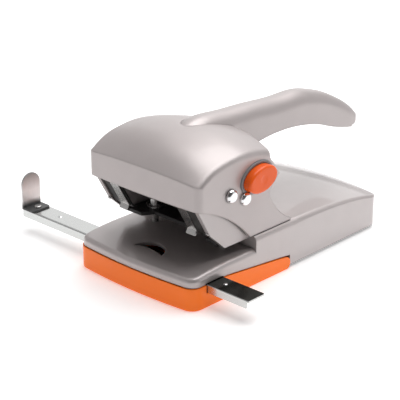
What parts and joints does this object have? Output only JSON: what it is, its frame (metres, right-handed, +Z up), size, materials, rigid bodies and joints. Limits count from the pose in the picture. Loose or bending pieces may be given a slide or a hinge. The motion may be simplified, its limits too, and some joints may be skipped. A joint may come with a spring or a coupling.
{
  "type": "hole punch",
  "caption": "Desk hole punch with a long lever handle, a side lock button, a sliding paper guide and a drop-down chip tray.",
  "frame": {"origin": "on the table plane, midway between the two holes and straight below their line, on the underside of the closed chip tray", "axes": "+X along the paper guide bar to the right, +Y from the paper side to the end of the handle, +Z up"},
  "size_m": [0.278, 0.2939, 0.1354],
  "materials": {
    "silver_casing": "satin metallic silver",
    "silver_lever": "satin metallic silver",
    "orange_tray": "glossy orange",
    "orange_button": "glossy orange",
    "grey_collar": "satin grey",
    "silver_frame": "satin metallic silver",
    "black_frame": "satin black paint",
    "bright_steel": "bright steel",
    "rivet_chrome": "polished",
    "guide_steel": "satin steel",
    "bottom_steel": "matt dark grey",
    "foot_rubber": "matt black"
  },
  "bodies": {
    "base": {"base_casing": "silver_casing", "bottom_plate": "bottom_steel", "base_screws": "bright_steel", "front_feet": "foot_rubber", "rear_feet": "foot_rubber", "left_cheek": "silver_frame", "right_cheek": "silver_frame", "cross_member": "black_frame", "frame_screws": "bright_steel", "die_plate": "bright_steel", "guide_plate": "black_frame", "back_plate": "black_frame", "front_tie": "black_frame", "edge_rivets": "bright_steel", "left_front_panel": "black_frame", "right_front_panel": "black_frame", "left_strap": "bright_steel", "right_strap": "bright_steel", "left_die": "bright_steel", "right_die": "bright_steel", "left_punch_guide": "bright_steel", "right_punch_guide": "bright_steel", "left_guide_bracket": "guide_steel", "right_guide_bracket": "guide_steel", "tray_pins": "bright_steel", "pivot_axle": "rivet_chrome", "pivot_washers": "bright_steel"},
    "lever": {"head_cover": "silver_lever", "handle": "silver_lever", "handle_bracket": "black_frame", "handle_bolts": "bright_steel", "lock_collar": "grey_collar", "presser_shaft": "rivet_chrome"},
    "lock_button": {"lock_button": "orange_button", "lock_pin": "bright_steel"},
    "left_punch": {"left_punch": "bright_steel", "left_spring": "bright_steel"},
    "right_punch": {"right_punch": "bright_steel", "right_spring": "bright_steel"},
    "paper_guide": {"guide_bar": "guide_steel", "side_stop": "guide_steel", "guide_rivet": "bright_steel"},
    "chip_tray": {"chip_tray": "orange_tray"}
  },
  "joints": [
    {"name": "lever_hinge", "type": "hinge", "parent": "base", "child": "lever", "pos_m": [0, -0.0174, 0.0893], "axis": [1, 0, 0], "range_deg": [0, 32]},
    {"name": "left_punch_slide", "type": "slide", "parent": "base", "child": "left_punch", "axis": [0, 0, 1], "range_m": [0, 0.0106], "deforming": ["left_spring"]},
    {"name": "right_punch_slide", "type": "slide", "parent": "base", "child": "right_punch", "axis": [0, 0, 1], "range_m": [0, 0.0106], "deforming": ["right_spring"]},
    {"name": "lock_button_slide", "type": "slide", "parent": "lever", "child": "lock_button", "axis": [-1, 0, 0], "range_m": [0, 0.004], "stiffness_N_per_m": 500},
    {"name": "guide_slide", "type": "slide", "parent": "base", "child": "paper_guide", "axis": [1, 0, 0], "range_m": [-0.02, 0.06]},
    {"name": "tray_hinge", "type": "hinge", "parent": "base", "child": "chip_tray", "pos_m": [0, 0.0498, 0.0062], "axis": [1, 0, 0], "range_deg": [0, 35]}
  ],
  "couplings": [
    {"joint": "left_punch_slide", "follows": "lever_hinge", "m_per_rad": 0.018577},
    {"joint": "right_punch_slide", "follows": "lever_hinge", "m_per_rad": 0.018577}
  ]
}
